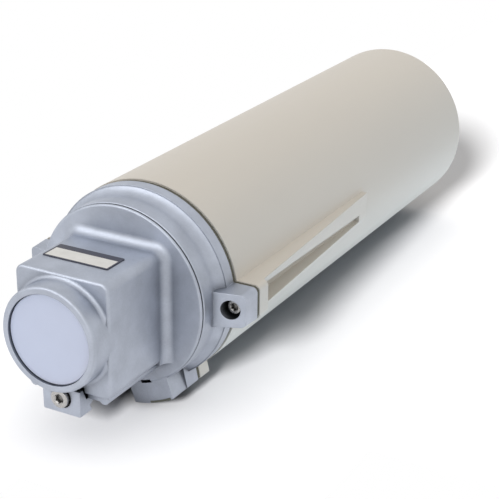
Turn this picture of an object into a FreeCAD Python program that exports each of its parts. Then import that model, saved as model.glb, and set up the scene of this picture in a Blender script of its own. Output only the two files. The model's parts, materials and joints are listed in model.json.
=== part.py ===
"""Enclosed Yagi antenna: cast aluminium base with a mast clamp, and a closed radome tube.

The pieces are drawn about the antenna's own axis: Y runs along the tube towards its tip,
Z is up towards the type plate, and y = 0 is the middle of the flange gasket.  Each piece is
moved as it is written out, so that the part's origin is the centre of the clamped mast.
"""
import FreeCAD, Part
import math
import os

from FreeCAD import Vector

# ------------------------------------------------------------------ driving sizes, mm
# Radome
TUBE_R = 38.1            # 3 inch tube, outer radius
TUBE_WALL = 2.0
TIP_ROOM = 15.6          # tip beyond the boom's end
TIP_WALL = 2.5
TIP_EDGE_R = 2.2
GASKET_T = 1.8
GASKET_INSET = 0.35      # gasket edge behind the flange edge

# Flange, drum and disc of the casting
FLANGE_INSET = 0.3       # flange edge inside the tube's surface
FLANGE_T = 4.9
FLANGE_RIM = 0.5         # flat left between the flange's edge and the cove
FLANGE_STEP = 2.9        # flange edge outside the drum
DRUM_WALL = 3.0
DRUM_EDGE = 0.3
COVE_R = 5.0             # hollow sweep from drum to flange
DISC_STEP = 0.4          # disc edge inside the drum's surface
DISC_BACK = 18.7         # disc rear face behind the gasket's middle
DISC_T = 4.0
DISC_EDGE_R = 0.8
CREASE_W = 0.5           # shadow groove between disc and drum
CREASE_D = 0.6
SPIGOT_WALL = 2.2
SPIGOT_LENGTH = 4.5      # past the gasket's middle, into the tube
SPIGOT_GAP = 0.15

# Box and boss
BOX_HALF_W = 19.2
BOX_TOP = 21.25
BOX_BOTTOM = 22.15
BOX_BACK = 53.3
BOX_WALL = 2.5
BOX_EDGE_R = 3.2         # edges along the axis
BOX_REAR_R = 1.0         # edges of the rear face
BOX_FOOT_R = 3.5
BOSS_WALL = 2.55         # round the cover
BOSS_H = 8.6             # its rise behind the box
BOSS_EDGE_R = 1.0
BOSS_FOOT_R = 1.5
COVER_R = 16.7
COVER_GAP = 0.15
COVER_T = 2.4
COVER_SINK = 1.0
COVER_EDGE = 0.3
COVER_LEDGE = 2.25       # width of the ledge that the cover lies on
COVER_GASKET_T = 0.5
COVER_SKIRT_H = 3.0
COVER_SKIRT_WALL = 1.6
BULKHEAD_BACK = 40.0     # wall that carries the connector
BULKHEAD_T = 2.5

# Type plate
PLATE_X = (-15.5, 11.8)
PLATE_Y = (-42.6, -31.8)
PLATE_T = 0.3
PLATE_CORNER_R = 0.6

# Side lugs
LUG_EDGE = 5.65          # outer face outside the side screw
LUG_HALF_H = 6.1
LUG_BACK = 8.75          # rear face at the lug's outer end
LUG_ROOT_BACK = 11.2     # rear face where it meets the drum
LUG_DRAFT = 0.4          # growth from the rear face to the gasket
LUG_SLOPE = 0.12         # fall of the underside towards the drum
LUG_CORNER_R = 2.1
NUT_GAP = 0.2            # side nut clear of the tube
LUG_BORE_GAP = 0.2       # counterbore round the washer
LUG_BORE_DEPTH = 5.25    # from the outer end of the rear face
RADOME_LUG_T = 6.3

# Lower lugs
LOWER_ANGLE = 70.0       # degrees below the horizontal
LOWER_EDGE = 2.5         # outer face outside the lower screw
LOWER_HEAD_GAP = 0.1     # its head clear of the tube
LOWER_HALF_W = 9.4       # half width at the disc edge, at the flange
LOWER_TAPER = 0.13
LOWER_BACK = 8.75        # rear end of the tapered part
LOWER_THREAD = 5.5
LUG_SHORT = 0.4          # rear face of the cast lug in front of the disc's
LUG_REAR_IN = 9.4        # its half width towards the middle
LUG_REAR_OUT = 8.1       # its half width towards the side
NOTCH_WIDTH = 1.0        # short drain notch along the disc's edge above each lug
NOTCH_OUT = 0.3          # its reach beyond the disc's edge
NOTCH_TURN = (-6.0, 1.5)         # its ends, in degrees from the lug's middle
NOTCH_DEPTH = 4.0
PAD_STRIP_T = 0.9        # rubber strip under each cast lug
PAD_STRIP_TURN = (-3.4, 9.6)     # its ends, in degrees from the lug's middle
PAD_STRIP_LENGTH = 8.0

# Gussets that stiffen the radome's side lugs
GUSSET_END = 108.5
GUSSET_INSET = 1.2               # outer edge inside the lug's outer face
GUSSET_RISE = 1.8                # outer edge above the tube at the far end
GUSSET_LEAN = 0.9                # undercut of the outer face at the lug
GUSSET_RIDGE = (4.0, -1.3)       # upper edge of the nut pocket
GUSSET_FLOOR = -4.2              # lower edge of the nut pocket
POCKET_END = 101.0

# Mast and clamp
MAST_R = 16.7            # 33.4 mm pipe
MAST_GAP = 0.1
LUG_TO_MAST = 0.6        # disc's rear face to the mast
PAD_HALF_W = 16.2
PAD_T = 2.35             # pad below the box
PAD_SHORT = 1.9          # its rear face in front of the box's
RAIL_INSET = 1.5         # rail's axis inside the pad's edge
RAIL_R = 2.0
RAIL_DROP = 0.9          # rails stand this far below the pad
SADDLE_HALF_W = 4.2
SADDLE_SHORT = 6.0       # saddle's rear face in front of the box's
SADDLE_H = 11.4          # below the pad
HORN_HALF_W = 3.2        # narrow front part of the saddle
HORN_FROM_MAST = 6.0     # its rear end in front of the mast's axis
HORN_BITE = 4.7          # its front end in front of the disc's rear face

# Clamp jaw.  Pairs are (in front of the jaw's rear face, below the box); the recess for its
# lip is (in front of the box's rear face, below the box), and clears the boss as well.
RECESS = ((0.4, -2.45), (2.0, 3.35))
RECESS_DEPTH = 0.8       # depth of the pocket in the pad's rear face
JAW_PROUD = 2.6          # jaw's rear face behind the box's
JAW_HALF_W = 7.8
JAW_SIDE_GAP = 0.2
JAW_TOP_GAP = 0.25
JAW_LIP = ((0.0, -1.8), (2.0, -1.8), (2.15, -1.15))     # lip above the box's lower edge
JAW_THROAT = 3.8
JAW_ARM = 6.1            # here the arm's flat top ends
JAW_TOOTH = (7.9, 4.65)
JAW_NOTCH = (5.8, 5.75)
JAW_NOSE = (7.4, 8.65)
JAW_HEEL = (4.7, 9.55)
JAW_FOOT = 8.25
JAW_CORNER_R = 0.4
JAW_FOOT_R = 2.6
KEY_HALF_W = 5.5         # key on the jaw that slides in the pad's slot
KEY_DROP = 0.55          # its top below the box
KEY_GAP = 0.5            # its end clear of the saddle
CLAMP_DROP = 2.15        # clamp screw's axis below the box
CLAMP_SCREW_R = 2.0      # M4
CLAMP_HEAD_R = 3.5
CLAMP_HEAD_H = 2.8       # low head
CLAMP_SOCKET = 3.0
CLAMP_BORE_R = 4.0
CLAMP_BORE_DEPTH = 1.7
CLAMP_WASHER_T = 0.5
CLAMP_GRIP = 3.8         # the screw's reach into the saddle
CLAMP_INSERT_R = 2.7
CLAMP_INSERT_LENGTH = 3.9
TURN_GAP = 0.06          # radial clearance round a turning screw
SEAT_GAP = 0.05          # end clearance under a turning head

# M3 and M2.5 hardware
M3_R = 1.5
M3_HEAD_R = 2.75
M3_HEAD_H = 3.0
M3_SOCKET = 2.5
M3_WASHER_R = 3.5
M3_WASHER_T = 0.5
M3_NUT_AF = 5.5
M3_NUT_H = 2.4
M3_NUT_PROUD = 0.8
M25_R = 1.25
M25_HEAD_R = 2.2
M25_HEAD_H = 2.5
M25_SOCKET = 2.0
HOLE_GAP = 0.15          # radial gap round a fixed screw

# Radiating elements
BOOM_R = 4.75
BOOM_WALL = 1.2
BOOM_SEAT = 4.7          # boom's rear end in front of the web
BOOM_TAIL = 22.0         # boom beyond the last director
BOOM_PLUG_T = 2.0
BOOM_PLUG_STEM = 6.0
FOOT_T = 3.5
FOOT_SOCKET_WALL = 2.45
FOOT_SOCKET_L = 12.7
FOOT_HEAD_GAP = 0.65     # screw heads clear of the socket
FOOT_EDGE = 3.4          # foot's edge outside its screws
FOOT_SCREWS = 3
FOOT_THREAD = 3.3
ROD_R = 1.6
ROD_GAP = 0.65           # rods clear of the boom
REFLECTOR_Y = 16.0
REFLECTOR_LENGTH = 60.5
DIPOLE_Y = (32.0, 44.0)          # two bars of the folded dipole
DIPOLE_LENGTH = 56.0
DIPOLE_FEED_GAP = 3.0
DIRECTOR_STEPS = (14.0, 21.0, 24.0, 26.0, 28.0, 29.0)    # each from the rod before it
DIRECTOR_LENGTHS = (51.5, 50.5, 49.5, 48.5, 48.0, 47.5)
CLIP_HALF_W = 3.6
CLIP_LENGTH = 6.0
CLIP_COVER = 1.3         # above the rod
CLIP_GRIP = 3.2          # how far a clip reaches down the boom's sides
FEED_HALF_W = 8.0
FEED_COVER = 2.9         # above the rod
FEED_MARGIN = 3.5
SUPPORT_BACK = 10.0      # its rear face behind the boom's end
SUPPORT_T = 8.0
SUPPORT_GAP = 0.2
SUPPORT_HOLES = 6
SUPPORT_HOLE_R = 7.0
SUPPORT_HOLE_AT = 24.0

# Connector and feed line
JACK_R = 7.9             # 5/8 inch thread
JACK_REACH = 17.0        # mouth behind the bulkhead's rear face
JACK_BORE_R = 6.0
JACK_BORE_DEPTH = 10.0
JACK_FLANGE_AF = 20.0
JACK_FLANGE_T = 2.5
JACK_TAIL = 7.0          # front end beyond the bulkhead's rear face
JACK_GASKET_T = 0.8
JACK_NUT_T = 3.0
INSULATOR_R = 4.6
INSULATOR_REACH = 10.0
PIN_R = 1.5
PIN_REACH = 14.0
PIN_TAIL = 10.0          # front end beyond the bulkhead's rear face
PIN_BORE_R = 0.8
PIN_BORE_DEPTH = 6.0
COAX_R = 1.1
COAX_GAP = 1.4           # long run clear of the boom's foot
COAX_HOLE_GAP = 1.5
COAX_RADII = (5.0, 6.0, 8.0)     # bends, from the jack onwards
COAX_START = 3.0         # straight run at the jack
COAX_WEB_RUN = 1.5       # straight run behind the disc's rear face
COAX_FEED_AT = 4.0       # end of the line beyond the dipole's rear bar
COAX_FALL = 9.0          # length of the last slope

# ------------------------------------------------------------------ derived places
FACE = GASKET_T / 2                       # gasket faces lie this far from y = 0
TUBE_INNER_R = TUBE_R - TUBE_WALL
SPIGOT_R = TUBE_INNER_R - SPIGOT_GAP
FLANGE_R = TUBE_R - FLANGE_INSET
DRUM_R = FLANGE_R - FLANGE_STEP
DRUM_INNER_R = DRUM_R - DRUM_WALL
DISC_R = DRUM_R - DISC_STEP
WEB_FRONT = -(DISC_BACK - DISC_T)

BOSS_R = COVER_R + COVER_GAP + BOSS_WALL
BOSS_BACK = BOX_BACK + BOSS_H
COVER_BACK = -(BOSS_BACK - COVER_SINK)
COVER_FRONT = COVER_BACK + COVER_T
LEDGE_Y = COVER_FRONT + COVER_GASKET_T
BAY_R = COVER_R + COVER_GAP - COVER_LEDGE

SIDE_SCREW_X = TUBE_R + NUT_GAP + M3_NUT_AF / 2
LUG_OUT = SIDE_SCREW_X + LUG_EDGE
LUG_BORE_R = M3_WASHER_R + LUG_BORE_GAP
SIDE_SEAT = -LUG_BACK + LUG_BORE_DEPTH
RADOME_LUG_FRONT = FACE + RADOME_LUG_T
LOWER_SCREW_R = TUBE_R + LOWER_HEAD_GAP + M25_HEAD_R
LOWER_R = LOWER_SCREW_R + LOWER_EDGE
LUG_REAR = DISC_BACK - LUG_SHORT

PAD_BACK = BOX_BACK - PAD_SHORT
PAD_BOTTOM = BOX_BOTTOM + PAD_T
RAIL_X = PAD_HALF_W - RAIL_INSET
RAIL_BOTTOM = PAD_BOTTOM + RAIL_DROP
MAST_Y = -(DISC_BACK + LUG_TO_MAST + MAST_R)
MAST_Z = -(RAIL_BOTTOM + MAST_GAP + MAST_R)
SADDLE_R = MAST_R + MAST_GAP
SADDLE_BACK = BOX_BACK - SADDLE_SHORT
SADDLE_BOTTOM = PAD_BOTTOM + SADDLE_H
JAW_BACK = BOX_BACK + JAW_PROUD
CLAMP_SCREW_Z = -(BOX_BOTTOM + CLAMP_DROP)
HEAD_SEAT = -(JAW_BACK - CLAMP_BORE_DEPTH) - CLAMP_WASHER_T
CLAMP_SCREW_END = -SADDLE_BACK + CLAMP_GRIP
ORIGIN = Vector(0, MAST_Y, MAST_Z)

BOOM_Z = -(BOOM_R + ROD_GAP + ROD_R)
BOOM_BACK = WEB_FRONT + BOOM_SEAT
FOOT_SOCKET_R = BOOM_R + FOOT_SOCKET_WALL
FOOT_SOCKET_END = WEB_FRONT + FOOT_SOCKET_L
FOOT_SCREW_R = FOOT_SOCKET_R + FOOT_HEAD_GAP + M3_HEAD_R
FOOT_R = FOOT_SCREW_R + FOOT_EDGE
DIRECTOR_Y = [DIPOLE_Y[1] + sum(DIRECTOR_STEPS[:i + 1]) for i in range(len(DIRECTOR_STEPS))]
BOOM_END = DIRECTOR_Y[-1] + BOOM_TAIL
TIP_Y = BOOM_END + TIP_ROOM
SUPPORT_Y = BOOM_END - SUPPORT_BACK
CLIP_TOP = ROD_R + CLIP_COVER
FEED_TOP = ROD_R + FEED_COVER

JACK_MOUTH = -BULKHEAD_BACK - JACK_REACH
JACK_END = -BULKHEAD_BACK + JACK_TAIL
PIN_BACK = -BULKHEAD_BACK - PIN_REACH
PIN_END = -BULKHEAD_BACK + PIN_TAIL
COAX_Z = BOOM_Z + FOOT_R + COAX_GAP + COAX_R
OUT = "parts"


# ------------------------------------------------------------------ helpers
def cyl(radius, y_from, y_to, x=0.0, z=0.0):
    """A cylinder along Y."""
    return Part.makeCylinder(radius, y_to - y_from, Vector(x, y_from, z), Vector(0, 1, 0))


def rod(radius, half_length, y, z):
    """A cylinder along X, centred on x = 0."""
    return Part.makeCylinder(radius, 2 * half_length, Vector(-half_length, y, z), Vector(1, 0, 0))


def ring(outer, inner, y_from, y_to, x=0.0, z=0.0):
    """A tube along Y."""
    return cyl(outer, y_from, y_to, x, z).cut(cyl(inner, y_from - 1, y_to + 1, x, z))


def block(x_span, y_span, z_span):
    """A box between three pairs of limits."""
    size = [high - low for low, high in (x_span, y_span, z_span)]
    return Part.makeBox(*size, Vector(x_span[0], y_span[0], z_span[0]))


def hex_prism(across_flats, y_from, y_to, x=0.0, z=0.0):
    """A hexagonal prism along Y with flats at both sides."""
    corner_r = across_flats / math.sqrt(3)
    corners = []
    for i in range(6):
        angle = (i + 0.5) * math.pi / 3
        corners.append(Vector(x + corner_r * math.cos(angle), y_from, z + corner_r * math.sin(angle)))
    face = Part.Face(Part.makePolygon(corners + corners[:1]))
    return face.extrude(Vector(0, y_to - y_from, 0))


def corner_arc(before, at, after, radius):
    """Start, middle and end of the arc that rounds the corner at `at`."""
    back = (before - at).normalize()
    ahead = (after - at).normalize()
    half_angle = back.getAngle(ahead) / 2
    inward = (back + ahead).normalize()
    reach = radius / math.tan(half_angle)
    middle = at + inward * (radius / math.sin(half_angle) - radius)
    return at + back * reach, middle, at + ahead * reach


def rounded_wire(points, radii, closed=True):
    """A wire of straight runs through `points`, rounded by `radii` at each point."""
    count = len(points)
    stops = []
    for i, point in enumerate(points):
        inner = closed or 0 < i < count - 1
        if inner and radii[i] > 0:
            stops.append(corner_arc(points[i - 1], point, points[(i + 1) % count], radii[i]))
        else:
            stops.append((point,))
    edges = []
    for i, stop in enumerate(stops):
        if len(stop) == 3:
            edges.append(Part.Arc(*stop).toShape())
        last = i == count - 1
        if not last or closed:
            following = stops[(i + 1) % count]
            if stop[-1].distanceToPoint(following[0]) > 1e-6:
                edges.append(Part.LineSegment(stop[-1], following[0]).toShape())
    return Part.Wire(edges)


def outline_xz(points, radii, y):
    """A closed outline across the axis, given as (x, z) pairs."""
    return rounded_wire([Vector(x, y, z) for x, z in points], radii)


def prism(points, radii, y_from, y_to):
    """An (x, z) outline drawn out along Y."""
    return Part.Face(outline_xz(points, radii, y_from)).extrude(Vector(0, y_to - y_from, 0))


def both_sides(shape):
    """The shape and its mirror image across x = 0."""
    return [shape, shape.mirror(Vector(), Vector(1, 0, 0))]


def fuse(shapes):
    """All shapes as one clean solid."""
    return shapes[0].multiFuse(shapes[1:]).removeSplitter()


def group(shapes):
    """Separate solids of one kind, kept together."""
    return Part.makeCompound(shapes)


def lower_point(along, across):
    """A point (x, z) on the right lower lug: distance from the axis, and offset across it."""
    angle = math.radians(LOWER_ANGLE)
    x = along * math.cos(angle) + across * math.sin(angle)
    z = -along * math.sin(angle) + across * math.cos(angle)
    return x, z


def socket_screw(shank_r, head_r, head_h, socket_af, seat_y, length, x, z, heading=1):
    """A socket cap screw along Y; `heading` is +1 when its point faces the tip."""
    head = cyl(head_r, seat_y - head_h, seat_y, x, z)
    rim = [edge for edge in head.Edges if abs(edge.BoundBox.YMin - (seat_y - head_h)) < 1e-6]
    rim = [edge for edge in rim if edge.BoundBox.YLength < 1e-6]
    head = head.makeChamfer(0.12 * head_r, rim)
    socket = hex_prism(socket_af, seat_y - head_h, seat_y - 0.4 * head_h, x, z)
    screw = head.cut(socket).fuse(cyl(shank_r, seat_y, seat_y + length, x, z)).removeSplitter()
    if heading < 0:
        screw.rotate(Vector(x, seat_y, z), Vector(0, 0, 1), 180)
    return screw


# ------------------------------------------------------------------ shared outlines
def side_lug_outline(grow):
    """Right side lug across the axis: flat top, sloping underside."""
    root_x = DRUM_INNER_R - 2
    out = LUG_OUT + grow
    top = LUG_HALF_H + grow
    fall = LUG_SLOPE * (out - root_x)
    points = [(root_x, top), (out, top), (out, -top), (root_x, -top - fall)]
    return points, [0, LUG_CORNER_R, LUG_CORNER_R, 0]


def lower_lug(inset, y_from, y_to):
    """Right lower lug at the flange: tapered flanks, outer face concentric with the tube."""
    inner = DRUM_INNER_R - 3
    outer = LOWER_R + 5
    half_in = LOWER_HALF_W + LOWER_TAPER * (DISC_R - inner) - inset
    half_out = LOWER_HALF_W - LOWER_TAPER * (outer - DISC_R) - inset
    points = [lower_point(inner, -half_in), lower_point(inner, half_in),
              lower_point(outer, half_out), lower_point(outer, -half_out)]
    return prism(points, [0] * 4, y_from, y_to).common(cyl(LOWER_R - inset, y_from, y_to))


def flange_plate(tube_r, inset, y_from, y_to):
    """Round flange with its four lugs, as the casting, gasket and radome share it."""
    points, radii = side_lug_outline(LUG_DRAFT - inset)
    pieces = [cyl(tube_r - inset, y_from, y_to)]
    pieces += both_sides(prism(points, radii, y_from, y_to))
    pieces += both_sides(lower_lug(inset, y_from, y_to))
    return fuse(pieces)


def side_screw_places():
    """Both side screws, as (x, z)."""
    return [(SIDE_SCREW_X, 0.0), (-SIDE_SCREW_X, 0.0)]


def lower_places(distance):
    """The same place on both lower lugs, as (x, z)."""
    x, z = lower_point(distance, 0.0)
    return [(x, z), (-x, z)]


# ------------------------------------------------------------------ casting
def drum_body():
    """Disc, shadow groove, drum and cove, turned about the axis."""
    disc_y = -DISC_BACK
    crease_y = disc_y + DISC_EDGE_R + CREASE_W
    flange_y = -FACE - FLANGE_T
    cove_r = FLANGE_R - FLANGE_RIM
    fall = COVE_R - (cove_r - DRUM_R)
    cove_back = flange_y - math.sqrt(COVE_R ** 2 - fall ** 2)
    cove_top = (cove_r, flange_y)
    sweep = math.atan2(flange_y - cove_back, fall) / 2
    cove_mid = (DRUM_R + COVE_R - COVE_R * math.cos(sweep), cove_back + COVE_R * math.sin(sweep))
    turn = DISC_EDGE_R * (1 - math.sqrt(0.5))
    runs = [
        [(0, disc_y), (DISC_R - DISC_EDGE_R, disc_y)],
        [(DISC_R - DISC_EDGE_R, disc_y), (DISC_R - turn, disc_y + turn),
         (DISC_R, disc_y + DISC_EDGE_R)],
        [(DISC_R, disc_y + DISC_EDGE_R), (DISC_R - CREASE_D, disc_y + DISC_EDGE_R)],
        [(DISC_R - CREASE_D, disc_y + DISC_EDGE_R), (DISC_R - CREASE_D, crease_y)],
        [(DISC_R - CREASE_D, crease_y), (DRUM_R - DRUM_EDGE, crease_y)],
        [(DRUM_R - DRUM_EDGE, crease_y), (DRUM_R, crease_y + DRUM_EDGE)],
        [(DRUM_R, crease_y + DRUM_EDGE), (DRUM_R, cove_back)],
        [(DRUM_R, cove_back), cove_mid, cove_top],
        [cove_top, (0, flange_y)],
        [(0, flange_y), (0, disc_y)],
    ]
    edges = []
    for run in runs:
        stops = [Vector(r, y, 0) for r, y in run]
        maker = Part.Arc if len(stops) == 3 else Part.LineSegment
        edges.append(maker(*stops).toShape())
    return Part.Face(Part.Wire(edges)).revolve(Vector(), Vector(0, 1, 0), 360)


def side_lugs():
    """Cast side lugs, drafted towards the flange, with a rear face that slopes outwards."""
    back_points, radii = side_lug_outline(0.0)
    front_points, _ = side_lug_outline(LUG_DRAFT)
    back = outline_xz(back_points, radii, -LUG_ROOT_BACK)
    front = outline_xz(front_points, radii, -FACE)
    low = -LUG_OUT
    corners = [Vector(DRUM_R, -LUG_ROOT_BACK, low), Vector(LUG_OUT, -LUG_BACK, low),
               Vector(LUG_OUT + 1, -LUG_BACK, low), Vector(LUG_OUT + 1, -LUG_ROOT_BACK - 1, low),
               Vector(DRUM_R, -LUG_ROOT_BACK - 1, low)]
    slope = Part.Face(Part.makePolygon(corners + corners[:1])).extrude(Vector(0, 0, 2 * LUG_OUT))
    return both_sides(Part.makeLoft([back, front], True, True).cut(slope))


def box_body():
    """Rounded box behind the disc, with the round boss on its back."""
    box = block((-BOX_HALF_W, BOX_HALF_W), (-BOX_BACK, -DISC_BACK), (-BOX_BOTTOM, BOX_TOP))
    along = [edge for edge in box.Edges if edge.BoundBox.YLength > 1]
    box = box.makeFillet(BOX_EDGE_R, along)
    rear = [edge for edge in box.Edges if edge.BoundBox.YMax < -BOX_BACK + 1e-6]
    box = box.makeFillet(BOX_REAR_R, rear)
    boss = cyl(BOSS_R, -BOSS_BACK, -BOX_BACK + BOX_WALL)
    rim = [edge for edge in boss.Edges if edge.BoundBox.YMax < -BOSS_BACK + 1e-6]
    boss = boss.makeFillet(BOSS_EDGE_R, rim)
    return box, boss


def boss_foot():
    """Hollow fillet that carries the boss into the box's rear face."""
    y_from = -BOX_BACK - BOSS_FOOT_R
    outer = BOSS_R + BOSS_FOOT_R
    skirt = ring(outer, BOSS_R - 1, y_from, -BOX_BACK + BOX_WALL / 2)
    skirt = skirt.cut(Part.makeTorus(outer, BOSS_FOOT_R, Vector(0, y_from, 0), Vector(0, 1, 0)))
    face = block((BOX_REAR_R - BOX_HALF_W, BOX_HALF_W - BOX_REAR_R), (y_from, -DISC_BACK),
                 (BOX_REAR_R - BOX_BOTTOM, BOX_TOP - BOX_REAR_R))
    return skirt.common(face)


def box_foot():
    """Hollow fillet that carries the box's flanks and top into the disc."""
    side = BOX_HALF_W + BOX_FOOT_R
    top = BOX_TOP + BOX_FOOT_R
    span_y = (-DISC_BACK - BOX_FOOT_R, -DISC_BACK + 0.5)
    skirt = block((-side, side), span_y, (-BOX_BOTTOM, top))
    turn_r = BOX_EDGE_R + BOX_FOOT_R
    turn_z = top - turn_r
    corner = [edge for edge in skirt.Edges
              if edge.BoundBox.YLength > BOX_FOOT_R and edge.BoundBox.ZMin > top - 1e-6]
    skirt = skirt.makeFillet(turn_r, corner)
    for x in (side, -side):
        skirt = skirt.cut(cyl_z(BOX_FOOT_R, x, span_y[0], -BOX_BOTTOM - 1, turn_z))
    skirt = skirt.cut(rod(BOX_FOOT_R, side - turn_r, span_y[0], top))
    for x in (side - turn_r, turn_r - side):
        bend = Part.makeTorus(turn_r, BOX_FOOT_R, Vector(x, span_y[0], turn_z), Vector(0, 1, 0))
        quarter = block(sorted((x, math.copysign(side + 1, x))), (span_y[0] - 1, span_y[1] + 1),
                        (turn_z, top + 1))
        skirt = skirt.cut(bend.common(quarter))
    return skirt


def cyl_z(radius, x, y, z_from, z_to):
    """A cylinder along Z."""
    return Part.makeCylinder(radius, z_to - z_from, Vector(x, y, z_from), Vector(0, 0, 1))


def clamp_seat():
    """Pad, rails and grooved saddle under the box."""
    overlap = -BOX_BOTTOM + BOX_WALL / 2
    pad = block((-PAD_HALF_W, PAD_HALF_W), (-PAD_BACK, -DISC_BACK), (-PAD_BOTTOM, overlap))
    rail = cyl(RAIL_R, -PAD_BACK, -DISC_BACK, RAIL_X, -RAIL_BOTTOM + RAIL_R)
    span_z = (-SADDLE_BOTTOM, overlap)
    turn = MAST_Y + HORN_FROM_MAST
    saddle = block((-SADDLE_HALF_W, SADDLE_HALF_W), (-SADDLE_BACK, turn), span_z)
    horn = block((-HORN_HALF_W, HORN_HALF_W), (turn, -DISC_BACK + HORN_BITE), span_z)
    return [pad, saddle, horn] + both_sides(rail)


def jaw_room():
    """Recess for the jaw's lip, a shallow pocket in the pad, and the slot for the jaw's key."""
    lip_half = JAW_HALF_W + JAW_SIDE_GAP
    key_half = KEY_HALF_W + JAW_SIDE_GAP
    rear = BOX_BACK - BOSS_BACK - 1
    (front_high, high), (front_low, low) = RECESS
    places = [(rear, high), (front_high, high), (front_low, low), (rear, low)]
    corners = [Vector(-lip_half, -BOX_BACK + front, -BOX_BOTTOM - drop) for front, drop in places]
    recess = Part.Face(Part.makePolygon(corners + corners[:1])).extrude(Vector(2 * lip_half, 0, 0))
    span_z = (-PAD_BOTTOM - 1, -BOX_BOTTOM)
    pocket = block((-lip_half, lip_half), (-PAD_BACK - 1, -PAD_BACK + RECESS_DEPTH), span_z)
    slot = block((-key_half, key_half), (-PAD_BACK, -SADDLE_BACK), span_z)
    return [recess, pocket, slot]


def rear_lug():
    """Right cast lug behind the flange, with parallel flanks."""
    inner = DRUM_INNER_R - 3
    points = [lower_point(inner, -LUG_REAR_IN), lower_point(inner, LUG_REAR_OUT),
              lower_point(LOWER_R + 5, LUG_REAR_OUT), lower_point(LOWER_R + 5, -LUG_REAR_IN)]
    return prism(points, [0] * 4, -LUG_REAR, -FACE).common(cyl(LOWER_R, -LUG_REAR, -FACE))


def arc_slab(radii, angles, y_from, y_to):
    """A curved slab between two radii and two angles in degrees."""
    inner, outer = radii
    start, middle, end = [math.radians(a) for a in (angles[0], sum(angles) / 2, angles[1])]

    def at(radius, angle):
        return Vector(radius * math.cos(angle), y_from, radius * math.sin(angle))

    edges = [Part.Arc(at(outer, start), at(outer, middle), at(outer, end)).toShape(),
             Part.LineSegment(at(outer, end), at(inner, end)).toShape(),
             Part.Arc(at(inner, end), at(inner, middle), at(inner, start)).toShape(),
             Part.LineSegment(at(inner, start), at(outer, start)).toShape()]
    return Part.Face(Part.Wire(edges)).extrude(Vector(0, y_to - y_from, 0))


def lug_strip(grow):
    """Right rubber strip; `grow` widens it into the channel that it lies in."""
    angles = [turn - LOWER_ANGLE for turn in PAD_STRIP_TURN]
    return arc_slab((LOWER_R - PAD_STRIP_T, LOWER_R + grow), angles,
                    -LUG_REAR - grow, -LUG_REAR + PAD_STRIP_LENGTH)


def drain_notch():
    """Right notch along the disc's edge, above the lug."""
    angles = [turn - LOWER_ANGLE for turn in NOTCH_TURN]
    radii = (DISC_R - NOTCH_WIDTH, DISC_R + NOTCH_OUT)
    return arc_slab(radii, angles, -DISC_BACK - 1, -DISC_BACK + NOTCH_DEPTH)


def base_casting():
    """The cast aluminium base: flange, drum, box, boss, lugs and clamp seat."""
    box, boss = box_body()
    solid = [drum_body(), box, boss, boss_foot(), box_foot()]
    solid.append(flange_plate(FLANGE_R, 0.0, -FACE - FLANGE_T, -FACE)
                 .common(fuse([cyl(FLANGE_R, -FACE - FLANGE_T, -FACE)]
                              + both_sides(lower_lug(0.0, -FACE - FLANGE_T, -FACE)))))
    solid += side_lugs()
    solid += both_sides(lower_lug(0.0, -LOWER_BACK, -FACE))
    solid += both_sides(rear_lug())
    solid += clamp_seat()
    solid.append(cyl(SPIGOT_R, -FACE - FLANGE_T, SPIGOT_LENGTH))
    casting = fuse(solid)

    inner_x = BOX_HALF_W - BOX_WALL
    inner_z = (-BOX_BOTTOM + BOX_WALL, BOX_TOP - BOX_WALL)
    cuts = [cyl(DRUM_INNER_R, WEB_FRONT, -FACE - FLANGE_T + 1),
            cyl(SPIGOT_R - SPIGOT_WALL, -FACE - FLANGE_T, SPIGOT_LENGTH + 1),
            cyl(COVER_R + COVER_GAP, -BOSS_BACK - 1, LEDGE_Y),
            cyl(BAY_R, LEDGE_Y - 1, -BOX_BACK + BOX_WALL + 1),
            block((-inner_x, inner_x), (-BOX_BACK + BOX_WALL, -BULKHEAD_BACK), inner_z),
            block((-inner_x, inner_x), (-BULKHEAD_BACK + BULKHEAD_T, -DISC_BACK), inner_z),
            cyl(JACK_R + 0.1, -BULKHEAD_BACK - 1, -BULKHEAD_BACK + BULKHEAD_T + 1),
            cyl(COAX_R + COAX_HOLE_GAP, -DISC_BACK - 1, WEB_FRONT + 1, 0, COAX_Z),
            rod(SADDLE_R, BOX_HALF_W * 2, MAST_Y, MAST_Z),
            cyl(CLAMP_INSERT_R, -SADDLE_BACK - 1, -SADDLE_BACK + CLAMP_INSERT_LENGTH,
                0, CLAMP_SCREW_Z),
            cyl(CLAMP_SCREW_R + TURN_GAP, -SADDLE_BACK - 1, MAST_Y, 0, CLAMP_SCREW_Z)]
    for x, z in side_screw_places():
        cuts.append(cyl(LUG_BORE_R, -LUG_ROOT_BACK, SIDE_SEAT, x, z))
        cuts.append(cyl(M3_R + HOLE_GAP, SIDE_SEAT - 1, 0, x, z))
    for x, z in lower_places(LOWER_SCREW_R):
        cuts.append(cyl(M25_R, -FACE - LOWER_THREAD, 0, x, z))
    for x, z in foot_screw_places():
        cuts.append(cyl(M3_R, WEB_FRONT - FOOT_THREAD, WEB_FRONT + 1, x, z))
    cuts += jaw_room() + both_sides(lug_strip(1.0)) + both_sides(drain_notch())
    for cut in cuts:
        casting = casting.cut(cut)
    return casting


# ------------------------------------------------------------------ rear cover and type plate
def cover_disc():
    """Round cover in the boss, with a short skirt that plugs the bay."""
    disc = cyl(COVER_R, COVER_BACK, COVER_FRONT)
    rim = [edge for edge in disc.Edges if edge.BoundBox.YMax < COVER_BACK + 1e-6]
    disc = disc.makeChamfer(COVER_EDGE, rim)
    skirt_r = BAY_R - COVER_GAP
    skirt = ring(skirt_r, skirt_r - COVER_SKIRT_WALL, COVER_FRONT - 0.5, COVER_FRONT + COVER_SKIRT_H)
    return fuse([disc, skirt])


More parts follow.
